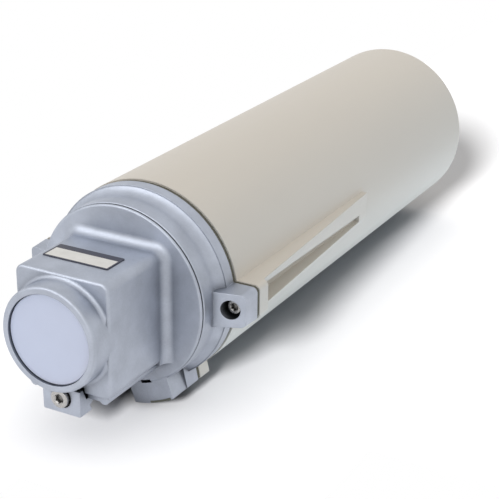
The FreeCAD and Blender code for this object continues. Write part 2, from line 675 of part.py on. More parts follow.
def cover_gasket():
    """Flat ring between the cover and its ledge."""
    return ring(COVER_R, BAY_R, COVER_FRONT, LEDGE_Y)


def type_plate():
    """Thin rectangular plate on top of the box."""
    points = [Vector(PLATE_X[0], PLATE_Y[0], BOX_TOP), Vector(PLATE_X[1], PLATE_Y[0], BOX_TOP),
              Vector(PLATE_X[1], PLATE_Y[1], BOX_TOP), Vector(PLATE_X[0], PLATE_Y[1], BOX_TOP)]
    return Part.Face(rounded_wire(points, [PLATE_CORNER_R] * 4)).extrude(Vector(0, 0, PLATE_T))


# ------------------------------------------------------------------ radome and its fixings
def flange_gasket():
    """Gasket between casting and radome, with the outline of the flange."""
    plate = flange_plate(FLANGE_R, GASKET_INSET, -FACE, FACE)
    holes = [cyl(SPIGOT_R + SPIGOT_GAP, -FACE - 1, FACE + 1)]
    holes += [cyl(M3_R + HOLE_GAP, -FACE - 1, FACE + 1, x, z) for x, z in side_screw_places()]
    holes += [cyl(M25_R + HOLE_GAP, -FACE - 1, FACE + 1, x, z)
              for x, z in lower_places(LOWER_SCREW_R)]
    return plate.cut(Part.makeCompound(holes))


def gusset():
    """Long tapered stiffener behind the right side lug, with a pocket for the nut."""
    inner = TUBE_INNER_R + TUBE_WALL / 3
    top = LUG_HALF_H + LUG_DRAFT

    def section(y, out, lean, ridge):
        points = [(inner, top), (out, top), (out - lean, ridge), (out - 0.3, GUSSET_FLOOR),
                  (out - 1.2, -top), (inner, -top - LUG_SLOPE * (out - inner))]
        return outline_xz(points, [0] * 6, y)

    body = Part.makeLoft([section(FACE + 1, LUG_OUT - GUSSET_INSET, GUSSET_LEAN, GUSSET_RIDGE[0]),
                          section(GUSSET_END, TUBE_R + GUSSET_RISE, 0.1, GUSSET_RIDGE[1])], True, True)

    def mouth(y, ridge):
        points = [(inner - 2, ridge), (LUG_OUT + 5, ridge), (LUG_OUT + 5, GUSSET_FLOOR),
                  (inner - 2, GUSSET_FLOOR)]
        return outline_xz(points, [0] * 4, y)

    pocket = Part.makeLoft([mouth(RADOME_LUG_FRONT, GUSSET_RIDGE[0]),
                            mouth(POCKET_END, GUSSET_RIDGE[1])], True, True)
    return body.cut(pocket)


def radome():
    """Closed tube with a flange, four lugs and two gussets."""
    tube = cyl(TUBE_R, FACE, TIP_Y)
    rim = [edge for edge in tube.Edges if edge.BoundBox.YMin > TIP_Y - 1e-6]
    tube = tube.makeFillet(TIP_EDGE_R, rim)
    plate = flange_plate(TUBE_R, 0.0, FACE, RADOME_LUG_FRONT)
    shell = fuse([tube, plate] + both_sides(gusset()))
    cuts = [cyl(TUBE_INNER_R, FACE - 1, TIP_Y - TIP_WALL)]
    cuts += [cyl(M3_R + HOLE_GAP, FACE - 1, RADOME_LUG_FRONT + 1, x, z)
             for x, z in side_screw_places()]
    cuts += [cyl(M25_R + HOLE_GAP, FACE - 1, RADOME_LUG_FRONT + 1, x, z)
             for x, z in lower_places(LOWER_SCREW_R)]
    return shell.cut(Part.makeCompound(cuts))


def side_screws():
    """Socket screws through both side lugs."""
    seat = SIDE_SEAT - M3_WASHER_T
    length = RADOME_LUG_FRONT + M3_NUT_H + M3_NUT_PROUD - seat
    return group([socket_screw(M3_R, M3_HEAD_R, M3_HEAD_H, M3_SOCKET, seat, length, x, z)
                  for x, z in side_screw_places()])


def side_washers():
    """Washers at the bottom of the counterbores."""
    return group([ring(M3_WASHER_R, M3_R + HOLE_GAP, SIDE_SEAT - M3_WASHER_T, SIDE_SEAT, x, z)
                  for x, z in side_screw_places()])


def side_nuts():
    """Hexagon nuts in the pockets of the gussets."""
    nuts = []
    for x, z in side_screw_places():
        nut = hex_prism(M3_NUT_AF, RADOME_LUG_FRONT, RADOME_LUG_FRONT + M3_NUT_H, x, z)
        nuts.append(nut.cut(cyl(M3_R, RADOME_LUG_FRONT - 1, RADOME_LUG_FRONT + M3_NUT_H + 1, x, z)))
    return group(nuts)


def lower_screws():
    """Socket screws through the radome's lower lugs, driven from the front."""
    length = RADOME_LUG_FRONT + FACE + LOWER_THREAD - 0.5
    return group([socket_screw(M25_R, M25_HEAD_R, M25_HEAD_H, M25_SOCKET,
                               RADOME_LUG_FRONT, length, x, z, -1)
                  for x, z in lower_places(LOWER_SCREW_R)])


# ------------------------------------------------------------------ mast clamp
def clamp_jaw():
    """Sliding jaw: a lip behind the box, a key in the pad's slot, and a toothed face."""
    arm_top = PAD_BOTTOM + JAW_TOP_GAP

    def at(front, drop):
        return Vector(-JAW_HALF_W, -JAW_BACK + front, -BOX_BOTTOM - drop)

    arm_drop = arm_top - BOX_BOTTOM
    places = list(JAW_LIP) + [(JAW_THROAT, arm_drop), (JAW_ARM, arm_drop), JAW_TOOTH, JAW_NOTCH,
                              JAW_NOSE, JAW_HEEL, (0.0, JAW_FOOT)]
    radii = [JAW_CORNER_R, JAW_CORNER_R, 0, 0.2, 0.2, 0.35, 0.3, 0.5, 0.6, JAW_CORNER_R]
    wire = rounded_wire([at(*place) for place in places], radii)
    jaw = Part.Face(wire).extrude(Vector(2 * JAW_HALF_W, 0, 0))
    top = at(*JAW_LIP[0]).z
    low = at(*JAW_HEEL).z
    foot = prism([(-JAW_HALF_W, top), (JAW_HALF_W, top), (JAW_HALF_W, low), (-JAW_HALF_W, low)],
                 [JAW_CORNER_R, JAW_CORNER_R, JAW_FOOT_R, JAW_FOOT_R], -JAW_BACK, at(*JAW_TOOTH).y)
    key = block((-KEY_HALF_W, KEY_HALF_W), (-JAW_BACK + JAW_THROAT - 0.5, -SADDLE_BACK - KEY_GAP),
                (-arm_top - 0.5, -BOX_BOTTOM - KEY_DROP))
    jaw = fuse([jaw.common(foot), key])
    bore = cyl(CLAMP_BORE_R, -JAW_BACK - 1, -JAW_BACK + CLAMP_BORE_DEPTH, 0, CLAMP_SCREW_Z)
    hole = cyl(CLAMP_SCREW_R + TURN_GAP, -JAW_BACK, -SADDLE_BACK, 0, CLAMP_SCREW_Z)
    return jaw.cut(Part.makeCompound([bore, hole]))


def lug_strips():
    """Rubber strips under both cast lower lugs, flush with them."""
    return group(both_sides(lug_strip(0.0)))


def clamp_washer():
    """Washer under the clamp screw's head."""
    floor = -JAW_BACK + CLAMP_BORE_DEPTH
    return ring(CLAMP_BORE_R - 0.1, CLAMP_SCREW_R + TURN_GAP, floor - CLAMP_WASHER_T, floor,
                0, CLAMP_SCREW_Z)


def clamp_screw():
    """Socket screw that draws the jaw towards the saddle."""
    seat = HEAD_SEAT - SEAT_GAP
    return socket_screw(CLAMP_SCREW_R, CLAMP_HEAD_R, CLAMP_HEAD_H, CLAMP_SOCKET,
                        seat, CLAMP_SCREW_END - seat, 0, CLAMP_SCREW_Z)


def clamp_insert():
    """Threaded steel insert in the saddle."""
    return ring(CLAMP_INSERT_R, CLAMP_SCREW_R + TURN_GAP,
                -SADDLE_BACK, -SADDLE_BACK + CLAMP_INSERT_LENGTH, 0, CLAMP_SCREW_Z)


# ------------------------------------------------------------------ boom and elements
def foot_screw_places():
    """Screws of the boom foot, as (x, z), the first one straight down."""
    places = []
    for i in range(FOOT_SCREWS):
        angle = 2 * math.pi * i / FOOT_SCREWS - math.pi / 2
        places.append((FOOT_SCREW_R * math.cos(angle), BOOM_Z + FOOT_SCREW_R * math.sin(angle)))
    return places


def boom_foot():
    """Flanged socket that holds the boom on the drum's web."""
    front = WEB_FRONT + FOOT_T
    foot = fuse([cyl(FOOT_R, WEB_FRONT, front, 0, BOOM_Z),
                 cyl(FOOT_SOCKET_R, WEB_FRONT, FOOT_SOCKET_END, 0, BOOM_Z)])
    cuts = [cyl(BOOM_R, BOOM_BACK, FOOT_SOCKET_END + 1, 0, BOOM_Z)]
    cuts += [cyl(M3_R + HOLE_GAP, WEB_FRONT - 1, front + 1, x, z) for x, z in foot_screw_places()]
    return foot.cut(Part.makeCompound(cuts))


def foot_screws():
    """Socket screws that hold the boom foot."""
    seat = WEB_FRONT + FOOT_T
    length = FOOT_T + FOOT_THREAD - 0.3
    return group([socket_screw(M3_R, M3_HEAD_R, M3_HEAD_H, M3_SOCKET, seat, length, x, z, -1)
                  for x, z in foot_screw_places()])


def boom():
    """Round aluminium tube that carries the elements."""
    return ring(BOOM_R, BOOM_R - BOOM_WALL, BOOM_BACK, BOOM_END, 0, BOOM_Z)


def boom_plug():
    """Plastic plug in the boom's front end."""
    cap = cyl(BOOM_R, BOOM_END, BOOM_END + BOOM_PLUG_T, 0, BOOM_Z)
    stem = cyl(BOOM_R - BOOM_WALL, BOOM_END - BOOM_PLUG_STEM, BOOM_END, 0, BOOM_Z)
    return fuse([cap, stem])


def saddle_clip(y_from, y_to, half_width, top):
    """Plastic block that sits astride the boom."""
    clip = block((-half_width, half_width), (y_from, y_to), (BOOM_Z + BOOM_R - CLIP_GRIP, top))
    return clip.cut(cyl(BOOM_R, y_from - 1, y_to + 1, 0, BOOM_Z))


def element(y, length):
    """One straight element rod."""
    return rod(ROD_R, length / 2, y, 0)


def element_clips():
    """A clip for the reflector and for each director."""
    clips = []
    for y, length in [(REFLECTOR_Y, REFLECTOR_LENGTH), *zip(DIRECTOR_Y, DIRECTOR_LENGTHS)]:
        clip = saddle_clip(y - CLIP_LENGTH / 2, y + CLIP_LENGTH / 2, CLIP_HALF_W, CLIP_TOP)
        clips.append(clip.cut(element(y, length)))
    return group(clips)


def dipole():
    """Folded dipole: a flat loop of rod with its feed gap at the rear bar."""
    y_rear, y_front = DIPOLE_Y
    bend_r = (y_front - y_rear) / 2
    straight = DIPOLE_LENGTH / 2 - bend_r
    gap = DIPOLE_FEED_GAP / 2
    edges = [Part.LineSegment(Vector(gap, y_rear, 0), Vector(straight, y_rear, 0)).toShape(),
             Part.Arc(Vector(straight, y_rear, 0), Vector(straight + bend_r, y_rear + bend_r, 0),
                      Vector(straight, y_front, 0)).toShape(),
             Part.LineSegment(Vector(straight, y_front, 0), Vector(-straight, y_front, 0)).toShape(),
             Part.Arc(Vector(-straight, y_front, 0), Vector(-straight - bend_r, y_rear + bend_r, 0),
                      Vector(-straight, y_rear, 0)).toShape(),
             Part.LineSegment(Vector(-straight, y_rear, 0), Vector(-gap, y_rear, 0)).toShape()]
    section = Part.Wire(Part.Circle(Vector(gap, y_rear, 0), Vector(1, 0, 0), ROD_R).toShape())
    return Part.Wire(edges).makePipeShell([section], True, False)


def feed_block():
    """Plastic feed housing round the middle of the dipole."""
    y_rear, y_front = DIPOLE_Y
    body = saddle_clip(y_rear - FEED_MARGIN, y_front + FEED_MARGIN, FEED_HALF_W, FEED_TOP)
    return body.cut(Part.makeCompound([dipole(), rod(ROD_R, DIPOLE_FEED_GAP / 2, y_rear, 0)]))


def tip_support():
    """Light disc that centres the boom's front end in the tube."""
    y_to = SUPPORT_Y + SUPPORT_T
    disc = cyl(TUBE_INNER_R - SUPPORT_GAP, SUPPORT_Y, y_to)
    cuts = [cyl(BOOM_R, SUPPORT_Y - 1, y_to + 1, 0, BOOM_Z)]
    for i in range(SUPPORT_HOLES):
        angle = 2 * math.pi * (i + 0.5) / SUPPORT_HOLES
        x = SUPPORT_HOLE_AT * math.cos(angle)
        z = SUPPORT_HOLE_AT * math.sin(angle)
        cuts.append(cyl(SUPPORT_HOLE_R, SUPPORT_Y - 1, y_to + 1, x, z))
    return disc.cut(Part.makeCompound(cuts))


# ------------------------------------------------------------------ connector and feed line
def jack_body():
    """Threaded bulkhead jack with a hexagonal flange."""
    flange_front = -BULKHEAD_BACK - JACK_GASKET_T
    step = JACK_MOUTH + JACK_BORE_DEPTH
    shell = fuse([cyl(JACK_R, JACK_MOUTH, JACK_END),
                  hex_prism(JACK_FLANGE_AF, flange_front - JACK_FLANGE_T, flange_front)])
    bores = [cyl(JACK_BORE_R, JACK_MOUTH - 1, step), cyl(INSULATOR_R, step - 1, JACK_END + 1)]
    return shell.cut(Part.makeCompound(bores))


def jack_gasket():
    """Seal between the jack's flange and the bulkhead."""
    return ring(JACK_FLANGE_AF / 2 - 0.3, JACK_R + 0.1, -BULKHEAD_BACK - JACK_GASKET_T, -BULKHEAD_BACK)


def jack_nut():
    """Nut on the inner side of the bulkhead."""
    back = -BULKHEAD_BACK + BULKHEAD_T
    front = back + JACK_NUT_T
    return hex_prism(JACK_FLANGE_AF, back, front).cut(cyl(JACK_R, back - 1, front + 1))


def jack_insulator():
    """White insulator round the centre contact."""
    return ring(INSULATOR_R, PIN_R, -BULKHEAD_BACK - INSULATOR_REACH, JACK_END)


def jack_pin():
    """Centre contact, hollow at its mouth."""
    pin = cyl(PIN_R, PIN_BACK, PIN_END)
    return pin.cut(cyl(PIN_BORE_R, PIN_BACK - 1, PIN_BACK + PIN_BORE_DEPTH))


def feed_line():
    """Semi-rigid line from the jack over the reflector to the feed block."""
    feed_y = DIPOLE_Y[0] + COAX_FEED_AT
    points = [Vector(0, PIN_END, 0), Vector(0, PIN_END + COAX_START, 0),
              Vector(0, -DISC_BACK - COAX_WEB_RUN, COAX_Z), Vector(0, feed_y - COAX_FALL, COAX_Z),
              Vector(0, feed_y, FEED_TOP)]
    path = rounded_wire(points, [0, *COAX_RADII, 0], closed=False)
    section = Part.Wire(Part.Circle(points[0], Vector(0, 1, 0), COAX_R).toShape())
    return path.makePipeShell([section], True, False).cut(feed_block())


# ------------------------------------------------------------------ output
NODES = {
    "base_casting": base_casting,
    "cover_disc": cover_disc,
    "cover_gasket": cover_gasket,
    "type_plate": type_plate,
    "flange_gasket": flange_gasket,
    "radome": radome,
    "side_screws": side_screws,
    "side_washers": side_washers,
    "side_nuts": side_nuts,
    "lower_screws": lower_screws,
    "clamp_jaw": clamp_jaw,
    "clamp_washer": clamp_washer,
    "clamp_screw": clamp_screw,
    "clamp_insert": clamp_insert,
    "lug_strips": lug_strips,
    "boom": boom,
    "boom_foot": boom_foot,
    "foot_screws": foot_screws,
    "boom_plug": boom_plug,
    "reflector": lambda: element(REFLECTOR_Y, REFLECTOR_LENGTH),
    "dipole": dipole,
    "feed_block": feed_block,
    "element_clips": element_clips,
    "tip_support": tip_support,
    "jack_body": jack_body,
    "jack_gasket": jack_gasket,
    "jack_nut": jack_nut,
    "jack_insulator": jack_insulator,
    "jack_pin": jack_pin,
    "feed_line": feed_line,
}
for number, (place, size) in enumerate(zip(DIRECTOR_Y, DIRECTOR_LENGTHS), start=1):
    NODES[f"director_{number}"] = lambda y=place, length=size: element(y, length)


def main():
    """Build every piece and write it out in the part's frame."""
    os.makedirs(OUT, exist_ok=True)
    for name, make in NODES.items():
        shape = make()
        shape.translate(ORIGIN * -1)
        state = "ok" if shape.isValid() else "NOT VALID"
        print(f"{name:16s} {state:10s} solids {len(shape.Solids):2d}  volume {shape.Volume:10.1f}")
        shape.exportStep(os.path.join(OUT, name + ".step"))


main()
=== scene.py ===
"""Looks of the enclosed Yagi antenna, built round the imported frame."""
import json
import math

import bmesh
import bpy
from mathutils import Matrix, Vector

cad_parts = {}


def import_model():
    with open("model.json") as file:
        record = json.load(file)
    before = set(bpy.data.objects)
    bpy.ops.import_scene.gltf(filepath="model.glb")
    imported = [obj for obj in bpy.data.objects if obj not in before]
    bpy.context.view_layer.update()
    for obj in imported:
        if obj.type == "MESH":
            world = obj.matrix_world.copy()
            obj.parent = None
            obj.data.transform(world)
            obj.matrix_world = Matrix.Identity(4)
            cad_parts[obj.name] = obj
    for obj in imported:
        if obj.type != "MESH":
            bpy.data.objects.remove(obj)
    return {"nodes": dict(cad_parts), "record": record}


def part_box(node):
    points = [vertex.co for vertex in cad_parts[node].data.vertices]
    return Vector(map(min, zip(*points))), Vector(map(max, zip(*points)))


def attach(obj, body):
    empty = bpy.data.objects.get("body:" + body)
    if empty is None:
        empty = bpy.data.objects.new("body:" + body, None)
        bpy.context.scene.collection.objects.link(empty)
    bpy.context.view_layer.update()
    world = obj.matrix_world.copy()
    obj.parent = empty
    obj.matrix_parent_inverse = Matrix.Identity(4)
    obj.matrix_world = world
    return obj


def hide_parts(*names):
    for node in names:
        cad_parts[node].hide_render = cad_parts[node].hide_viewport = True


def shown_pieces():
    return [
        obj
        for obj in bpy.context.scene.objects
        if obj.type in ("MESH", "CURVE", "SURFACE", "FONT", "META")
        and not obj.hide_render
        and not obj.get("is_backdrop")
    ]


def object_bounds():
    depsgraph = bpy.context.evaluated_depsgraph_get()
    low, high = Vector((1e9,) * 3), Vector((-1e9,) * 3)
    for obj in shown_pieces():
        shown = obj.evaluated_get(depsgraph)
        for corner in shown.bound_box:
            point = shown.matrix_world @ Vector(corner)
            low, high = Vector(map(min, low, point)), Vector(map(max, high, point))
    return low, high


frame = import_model()
NODES = frame["nodes"]
CAD_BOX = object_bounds()

# ------------------------------------------------------------------ camera, metres and degrees
VIEW_AIM = (0.0120, 0.0928, 0.0355)
VIEW_DISTANCE = 0.56
VIEW_AZIMUTH = 28.75
VIEW_ELEVATION = 22.52
VIEW_ROLL = 0.55
LENS_MM = 100.0
SENSOR_MM = 36.0
NEAREST = 0.01
FARTHEST = 50.0

# ------------------------------------------------------------------ light
# The world's bright sides: heading, and the cosines where each fades in and is full
BRIGHT_SIDES = (
    ((-0.75, -0.62, -0.10), 0.15, 0.90),
    ((0.00, 0.55, 0.83), 0.25, 0.80),
)
BRIGHT_LIGHT = (1.06, 1.03, 0.99)
DIM_LIGHT = (0.11, 0.16, 0.25)
BACKDROP = (1, 1, 1)
KEY_DIRECTION = (-0.10, 0.89, -0.44)
KEY_STRENGTH = 0.4
KEY_SPREAD = 40.0
# Fills, which aren't seen in gloss: name, direction, strength and colour
FILLS = (
    ("side_fill", (-0.90, 0.30, -0.30), 0.80, (1.0, 0.98, 0.92)),
    ("low_fill", (-0.75, 0.25, 0.60), 0.50, (0.45, 0.75, 1.0)),
)
FILL_SPREAD = 60.0
CASTING_KEY_DIRECTION = (0.45, 0.65, -0.60)
CASTING_KEY_STRENGTH = 1.0
CASTING_KEY_SPREAD = 50.0
FLOOR_SUN_DIRECTION = (-0.15, 0.88, -0.445)
FLOOR_SUN_STRENGTH = 10.0
FLOOR_SUN_SPREAD = 13.0

# ------------------------------------------------------------------ floor, metres
FLOOR_GAP = 0.0005                       # under the part's lowest point
# Its sheets, as spans of X and Y; beyond them the white backdrop shows
FLOOR_SPANS = (
    ((-0.09, 0.095), (-0.045, 0.80)),
    ((-0.09, 0.0), (-0.60, -0.045)),
    ((0.095, 0.145), (0.03, 0.20)),
)
FLOOR_TONE = (0.525, 0.525, 0.53)
PAINTED_SHADOW_TONE = (0.36, 0.36, 0.37)        # painted shadow: the floor's colour where it is most closed in
PAINTED_SHADOW_REACH = 0.035
PAINTED_SHADOW_SHUT = 0.2                       # open share at which the painted shadow tone is full
BOUNCE_TONE = (0.385, 0.445, 0.515)      # as it throws light back at the part

# ------------------------------------------------------------------ surfaces, metres
NOISE_SPAN = (0.3, 0.7)                  # where most of a noise's values lie
NOISE_ROUGHNESS = 0.55
EDGE_SAMPLES = 6                         # of the shader that softens edges
# painted shade: colours darken towards this tone in creases and hollows
PAINTED_SHADE_TONE = (0.02, 0.02, 0.02)
PAINTED_SHADE_SPAN = (0.25, 0.80)               # open shares at which the painted shade is full, and is gone
PLATE_RIM = 0.0007
PLATE_BAND = 0.0033
PLATE_DARK = (0.022, 0.023, 0.045)
PLATE_PALE = ((0.66, 0.65, 0.62), (0.74, 0.73, 0.70))

# ------------------------------------------------------------------ fasteners, metres
TURNS = 72               # facets round a lathed piece
CREASE = 35.0            # degrees; sharper edges stay hard
CLAMP_SCREW = {"shank": 0.0020, "head": 0.0035, "height": 0.0028,
               "socket": 0.0030, "pitch": 0.0007}
SIDE_SCREW = {"shank": 0.0015, "head": 0.00275, "height": 0.0030,
              "socket": 0.0025, "pitch": 0.0005}
LOWER_SCREW = {"shank": 0.00125, "head": 0.0022, "height": 0.0025,
               "socket": 0.0020, "pitch": 0.00045}
HEAD_ROUND = 0.12        # rounding of a head's edge, in head radii
ROUND_RINGS = 6
KNURL_RIBS = 24
KNURL_DEPTH = 0.022      # in head radii
KNURL_ENDS = (1.4, 0.5)  # from the head's top and from its seat, in roundings
SEAT_BEVEL = 0.4         # in roundings
SOCKET_TIP = (0.1, 0.36)     # drilled tip: its width in sockets, its height in head heights
SOCKET_FLOOR = 0.42      # heights above the seat, in head heights
SOCKET_MOUTH = 0.86
SOCKET_LEAD = (1.08, 0.97)   # lead-in: its radius in socket corners, its height as above
RING_STEP = 0.0001
PLACE_DIGITS = 5         # at which a pair of places counts as one
THREAD_DEPTH = 0.55      # in pitches
THREAD_STEPS = 8         # rings to each turn of a thread
POINT_BEVEL = 1.6        # in thread depths
NUT_FLATS = 0.0055
NUT_FACE = 0.97          # radius of its flat face, in half flats
NUT_CONE = 1.04          # the most that its chamfer leaves, in half flats
NUT_BEVEL = 0.12         # height of the chamfer, in nut heights
BEVEL_ENDS = (0.4, 1.6)  # where the chamfer's cone starts and ends, in bevels


# ------------------------------------------------------------------ node helpers
class Tree:
    """A node tree, with short ways to add and link its nodes."""

    def __init__(self, tree):
        self.nodes = tree.nodes
        self.links = tree.links

    def plug(self, socket, value):
        """Link a socket to another one, or set its value."""
        if isinstance(value, bpy.types.NodeSocket):
            self.links.new(value, socket)
        elif socket.type == "RGBA":
            socket.default_value = (*value, 1)
        else:
            socket.default_value = value

    def add(self, kind, **values):
        """A new node with its inputs set or linked by name."""
        node = self.nodes.new(kind)
        for key, value in values.items():
            self.plug(node.inputs[key], value)
        return node

    def maths(self, operation, *values):
        """The result of a Math node."""
        node = self.nodes.new("ShaderNodeMath")
        node.operation = operation
        for socket, value in zip(node.inputs, values):
            self.plug(socket, value)
        return node.outputs[0]

    def remap(self, value, span, to_low=0.0, to_high=1.0):
        """`value` carried from one range to another, and held inside it."""
        low, high = span
        ends = {"From Min": low, "From Max": high, "To Min": to_low, "To Max": to_high}
        return self.add("ShaderNodeMapRange", Value=value, **ends).outputs["Result"]

    def mix(self, factor, first, second):
        """Two colours mixed by a factor."""
        node = self.nodes.new("ShaderNodeMix")
        node.data_type = "RGBA"
        for key, value in ((0, factor), (6, first), (7, second)):
            self.plug(node.inputs[key], value)
        return node.outputs[2]

    def backdrop_share(self):
        """1 for rays that show the plain backdrop: to the camera, off metal, through glass."""
        path = self.add("ShaderNodeLightPath")
        share = path.outputs["Is Camera Ray"]
        for ray in ("Is Glossy Ray", "Is Transmission Ray"):
            share = self.maths("MAXIMUM", share, path.outputs[ray])
        return share


class Look(Tree):
    """A node material under construction, with its principled shader."""

    def __init__(self, name, colour, roughness, metallic=0.0):
        self.material = bpy.data.materials.new(name)
        self.material.use_nodes = True
        super().__init__(self.material.node_tree)
        self.shader = self.nodes["Principled BSDF"]
        self.set("Base Color", colour)
        self.set("Roughness", roughness)
        self.set("Metallic", metallic)
        self.colour = colour
        self.place = self.add("ShaderNodeTexCoord").outputs["Object"]

    def set(self, name, value):
        """Set or link one of the shader's own sockets."""
        self.plug(self.shader.inputs[name], value)

    def noise(self, size, detail=3.0, stretch=None):
        """Noise whose features are about `size` metres across."""
        place = self.place
        if stretch is not None:
            place = self.add("ShaderNodeMapping", Vector=place, Scale=stretch).outputs[0]
        node = self.add("ShaderNodeTexNoise", Vector=place, Scale=1.0 / size,
                        Detail=detail, Roughness=NOISE_ROUGHNESS)
        return node.outputs["Fac"]

    def tint(self, factor, share):
        """Base colour darkened or lightened by up to `share` where the factor leaves one half."""
        dark = [channel * (1 - share) for channel in self.colour]
        light = [min(1.0, channel * (1 + share)) for channel in self.colour]
        colour = self.mix(self.remap(factor, NOISE_SPAN), dark, light)
        self.set("Base Color", colour)
        return colour

    def paint_shade_in_hollows(self, colour, reach, share):
        """Paint shade into a colour: darken it by up to `share` where the surface is closed in
        within `reach`.
        """
        open_share = self.add("ShaderNodeAmbientOcclusion", Distance=reach).outputs["AO"]
        dark = self.mix(share, colour, PAINTED_SHADE_TONE)
        self.set("Base Color", self.mix(self.remap(open_share, PAINTED_SHADE_SPAN), dark, colour))

    def rough(self, factor, low, high):
        """Roughness that follows a factor."""
        self.set("Roughness", self.remap(factor, NOISE_SPAN, low, high))

    def bump(self, height, depth, edge=0.0):
        """Surface relief `depth` metres deep, and edges softened over `edge` metres."""
        node = self.add("ShaderNodeBump", Height=height, Distance=depth, Strength=1.0)
        if edge > 0:
            soft = self.add("ShaderNodeBevel", Radius=edge)
            soft.samples = EDGE_SAMPLES
            self.plug(node.inputs["Normal"], soft.outputs[0])
        self.set("Normal", node.outputs[0])


# ------------------------------------------------------------------ materials
def cast_aluminium():
    """Blasted die casting: fine grain, soft edges, faint clouding, and painted shade darkening
    its creases and hollows.
    """
    look = Look("cast_aluminium", (0.42, 0.45, 0.515), 0.50, 1.0)
    cloud = look.noise(0.012, 5.0)
    grain = look.noise(0.0007, 2.0)
    # painted shade: the clouded colour darkens in creases and hollows
    look.paint_shade_in_hollows(look.tint(cloud, 0.11), 0.014, 0.90)
    look.rough(grain, 0.45, 0.55)
    look.bump(grain, 0.00003, 0.0004)
    return look.material


def radome_plastic():
    """Cream grey glass-fibre tube, satin, faintly mottled."""
    look = Look("radome_plastic", (0.605, 0.562, 0.494), 0.42)
    cloud = look.noise(0.03, 3.0, stretch=(1.0, 0.25, 1.0))
    grain = look.noise(0.0012, 3.0)
    look.tint(cloud, 0.02)
    look.rough(cloud, 0.36, 0.46)
    look.bump(grain, 0.00003, 0.0005)
    return look.material


def cover_plastic():
    """Smooth pale cover."""
    look = Look("cover_plastic", (0.66, 0.68, 0.80), 0.35)
    look.tint(look.noise(0.012), 0.015)
    look.bump(look.noise(0.0008, 2.0), 0.00001, 0.0002)
    return look.material


def seal_rubber():
    """Dull dark rubber."""
    look = Look("seal_rubber", (0.105, 0.10, 0.075), 0.75)
    look.tint(look.noise(0.004), 0.15)
    look.bump(look.noise(0.0006), 0.00005)
    return look.material


def steel():
    """Stainless steel with fine turning marks, and painted shade darkening its sockets and
    threads.
    """
    look = Look("stainless_steel", (0.44, 0.43, 0.42), 0.30, 1.0)
    marks = look.noise(0.0006, 3.0, stretch=(1.0, 0.1, 1.0))
    # painted shade: the marked colour darkens in sockets and thread roots
    look.paint_shade_in_hollows(look.tint(marks, 0.12), 0.0025, 0.9)
    look.rough(marks, 0.22, 0.38)
    look.bump(marks, 0.00002)
    return look.material


def drawn_aluminium():
    """Drawn tube and rod, streaked along the draw."""
    look = Look("drawn_aluminium", (0.78, 0.78, 0.80), 0.28, 1.0)
    streaks = look.noise(0.0008, 3.0, stretch=(0.15, 0.15, 1.0))
    look.tint(streaks, 0.06)
    look.rough(streaks, 0.22, 0.36)
    look.bump(streaks, 0.00001)
    return look.material


def dark_plastic():
    """Moulded black plastic."""
    look = Look("dark_plastic", (0.035, 0.035, 0.038), 0.5)
    look.tint(look.noise(0.006), 0.2)
    look.bump(look.noise(0.0005), 0.00003, 0.0003)
    return look.material


def foam():
    """White closed-cell foam."""
    look = Look("foam", (0.85, 0.85, 0.83), 0.9)
    cells = look.add("ShaderNodeTexVoronoi", Vector=look.place, Scale=600.0).outputs["Distance"]
    look.tint(look.noise(0.01), 0.02)
    look.bump(cells, 0.0003)
    return look.material


def nickel():
    """Nickel-plated brass."""
    look = Look("nickel_plate", (0.70, 0.67, 0.60), 0.2, 1.0)
    look.tint(look.noise(0.004), 0.05)
    look.rough(look.noise(0.002), 0.15, 0.28)
    return look.material


def insulator():
    """White fluoropolymer."""
    look = Look("white_insulator", (0.90, 0.90, 0.88), 0.4)
    look.tint(look.noise(0.003), 0.02)
    return look.material


def contact_gold():
    """Gold-flashed contact."""
    look = Look("contact_brass", (0.90, 0.68, 0.28), 0.2, 1.0)
    look.rough(look.noise(0.002), 0.15, 0.3)
    return look.material


def copper():
    """Semi-rigid line in bare copper."""
    look = Look("copper_line", (0.80, 0.45, 0.27), 0.3, 1.0)
    look.tint(look.noise(0.003), 0.12)
    look.rough(look.noise(0.002), 0.25, 0.42)
    return look.material


def type_plate():
    """Bare plate: dark rim and dark band along the far edge, pale blank field."""
    low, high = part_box("type_plate")
    look = Look("plate_foil", (0.58, 0.56, 0.53), 0.4)
    parts = look.add("ShaderNodeSeparateXYZ", Vector=look.place)
    inside = 1.0
    for axis, near, far in ((0, PLATE_RIM, PLATE_RIM), (1, PLATE_RIM, PLATE_BAND)):
        value = parts.outputs[axis]
        above = look.maths("GREATER_THAN", value, low[axis] + near)
        below = look.maths("LESS_THAN", value, high[axis] - far)
        inside = look.maths("MULTIPLY", inside, look.maths("MULTIPLY", above, below))
    field = look.mix(look.remap(look.noise(0.004), NOISE_SPAN), *PLATE_PALE)
    look.set("Base Color", look.mix(inside, PLATE_DARK, field))
    return look.material


FINISHES = {
    "cast_aluminium": cast_aluminium,
    "cover_plastic": cover_plastic,
    "seal_rubber": seal_rubber,
    "plate_foil": type_plate,
    "radome_plastic": radome_plastic,
    "stainless_steel": steel,
    "element_aluminium": drawn_aluminium,
    "dark_plastic": dark_plastic,
    "foam_plastic": foam,
    "nickel_plate": nickel,
    "white_insulator": insulator,
    "contact_brass": contact_gold,
    "copper_line": copper,
}


def dress_nodes(finish_of):
    """Give every CAD node the finish of its material slot."""
    for part in frame["record"]["subparts"]:
        mesh = NODES[part["node"]].data
        mesh.materials.clear()
        mesh.materials.append(finish_of[part["material_slot"]])


# ------------------------------------------------------------------ fasteners
def circle(radius):
    """Radius as a function of the angle: a circle."""
    return lambda angle: radius


def hexagon(flats):
    """Radius as a function of the angle: a hexagon with flats at both sides."""
    sixth = math.pi / 3
    return lambda angle: flats / 2 / math.cos((angle + sixth / 2) % sixth - sixth / 2)


